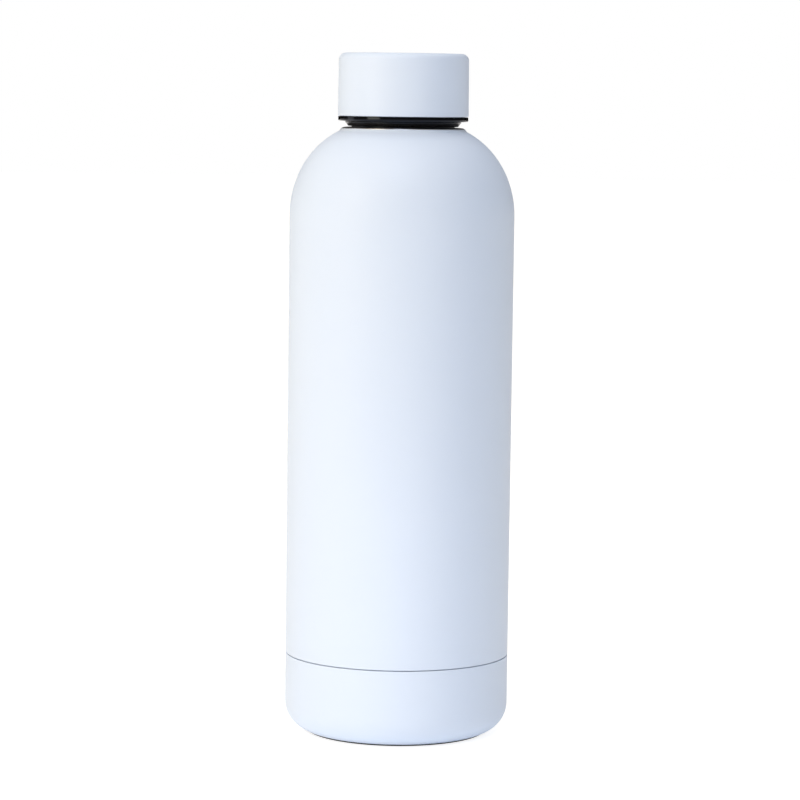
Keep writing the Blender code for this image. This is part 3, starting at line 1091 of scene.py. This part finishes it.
def soft_light(name, power):
    """One of the LIGHTS, with its power in watts."""
    place, target, size, colour = LIGHTS[name]
    light = bpy.data.lights.new(name, "AREA")
    light.shape = "RECTANGLE"
    light.size, light.size_y = size
    light.energy = power
    light.color = colour
    obj = bpy.data.objects.new(name, light)
    bpy.context.scene.collection.objects.link(obj)
    obj.location = place
    obj.rotation_euler = (Vector(target) - Vector(place)).to_track_quat("-Z", "Y").to_euler()
    return obj


def studio_world(strength):
    """White to the eye, and a light on the bottle that comes mostly from overhead."""
    world = bpy.data.worlds.new("studio")
    world.use_nodes = True
    world.node_tree.nodes.clear()
    tree = NodeTree(world.node_tree)
    direction = tree.add("ShaderNodeTexCoord").outputs["Generated"]
    split = tree.add("ShaderNodeSeparateXYZ", inputs={0: direction})
    up = tree.math("MAXIMUM", tree.value(split, "Z"), 0.0)
    level = up * up * strength
    seen = tree.add("ShaderNodeBackground", inputs={"Color": (1.0, 1.0, 1.0, 1.0), "Strength": 1.0})
    fill = tree.add("ShaderNodeBackground", inputs={"Color": (1.04, 0.985, 0.92, 1.0), "Strength": level})
    to_camera = tree.add("ShaderNodeLightPath").outputs["Is Camera Ray"]
    mix = tree.add("ShaderNodeMixShader", inputs={0: to_camera, 1: fill.outputs[0], 2: seen.outputs[0]})
    tree.add("ShaderNodeOutputWorld", inputs={"Surface": mix.outputs[0]})
    bpy.context.scene.world = world


class BOTTLE_OT_studio(bpy.types.Operator):
    """Pale floor, soft lights and the camera"""

    bl_idname = "bottle.studio"
    bl_label = "Studio"

    def execute(self, context):
        studio = context.scene.bottle_studio
        half, under_foot = 6.0, 0.2 * MM
        drop = CAD_BOX[0][2] - under_foot
        mesh = bpy.data.meshes.new("floor")
        corners = [(-half, -half), (half, -half), (half, half), (-half, half)]
        mesh.from_pydata([(x, y, drop) for x, y in corners], [], [(0, 1, 2, 3)])
        mesh.materials.append(finish("floor"))
        floor = bpy.data.objects.new("floor", mesh)
        context.scene.collection.objects.link(floor)
        soft_light("key_light", studio.key_power)
        soft_light("edge_light", studio.edge_power)
        soft_light("top_light", studio.top_power)
        low_light = soft_light("low_light", studio.low_power)
        low_light.visible_camera = False
        studio_world(studio.fill_strength)
        context.scene.view_settings.view_transform = "Standard"
        camera = bpy.data.cameras.new("camera")
        camera.sensor_width = SENSOR_WIDTH
        camera.lens = studio.lens
        camera.clip_start, camera.clip_end = 0.01, 50.0
        view = bpy.data.objects.new("camera", camera)
        context.scene.collection.objects.link(view)
        aside = 0.1 * MM
        place = Matrix.Translation((aside, -studio.camera_distance, studio.camera_height))
        tilt = Matrix.Rotation(math.pi / 2.0 - studio.camera_pitch, 4, "X")
        view.matrix_world = place @ tilt @ Matrix.Rotation(studio.camera_roll, 4, "Z")
        context.scene.camera = view
        return {"FINISHED"}


PIECES = (
    BOTTLE_OT_outer_wall,
    BOTTLE_OT_base,
    BOTTLE_OT_inner_vessel,
    BOTTLE_OT_vacuum_parts,
    BOTTLE_OT_cap,
    BOTTLE_OT_plug,
    BOTTLE_OT_studio,
)


class BOTTLE_PT_panel(bpy.types.Panel):
    """The bottle's pieces and settings"""

    bl_label = "Insulated Bottle"
    bl_idname = "BOTTLE_PT_panel"
    bl_space_type = "VIEW_3D"
    bl_region_type = "UI"
    bl_category = "Bottle"

    def draw(self, context):
        layout = self.layout
        for settings in ("bottle_sizes", "bottle_finish", "bottle_studio"):
            group = getattr(context.scene, settings)
            box = layout.box()
            for name in group.__annotations__:
                box.prop(group, name)
        for piece in PIECES:
            layout.operator(piece.bl_idname)


SETTINGS = {"bottle_sizes": BottleSizes, "bottle_finish": BottleFinish, "bottle_studio": StudioSettings}


def register():
    for cls in (*SETTINGS.values(), *PIECES, BOTTLE_PT_panel):
        bpy.utils.register_class(cls)
    for name, group in SETTINGS.items():
        setattr(bpy.types.Scene, name, PointerProperty(type=group))


def unregister():
    for name in SETTINGS:
        delattr(bpy.types.Scene, name)
    for cls in (BOTTLE_PT_panel, *reversed(PIECES), *reversed(SETTINGS.values())):
        bpy.utils.unregister_class(cls)


def clear_startup_objects():
    """Blender's startup camera, light and cube aren't part of this scene."""
    for name in ("Cube", "Light", "Camera"):
        if name in bpy.data.objects and "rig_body" not in bpy.data.objects[name]:
            bpy.data.objects.remove(bpy.data.objects[name])


def main():
    register()
    clear_startup_objects()
    for piece in PIECES:
        group, name = piece.bl_idname.split(".")
        getattr(getattr(bpy.ops, group), name)()


if __name__ == "__main__":
    main()
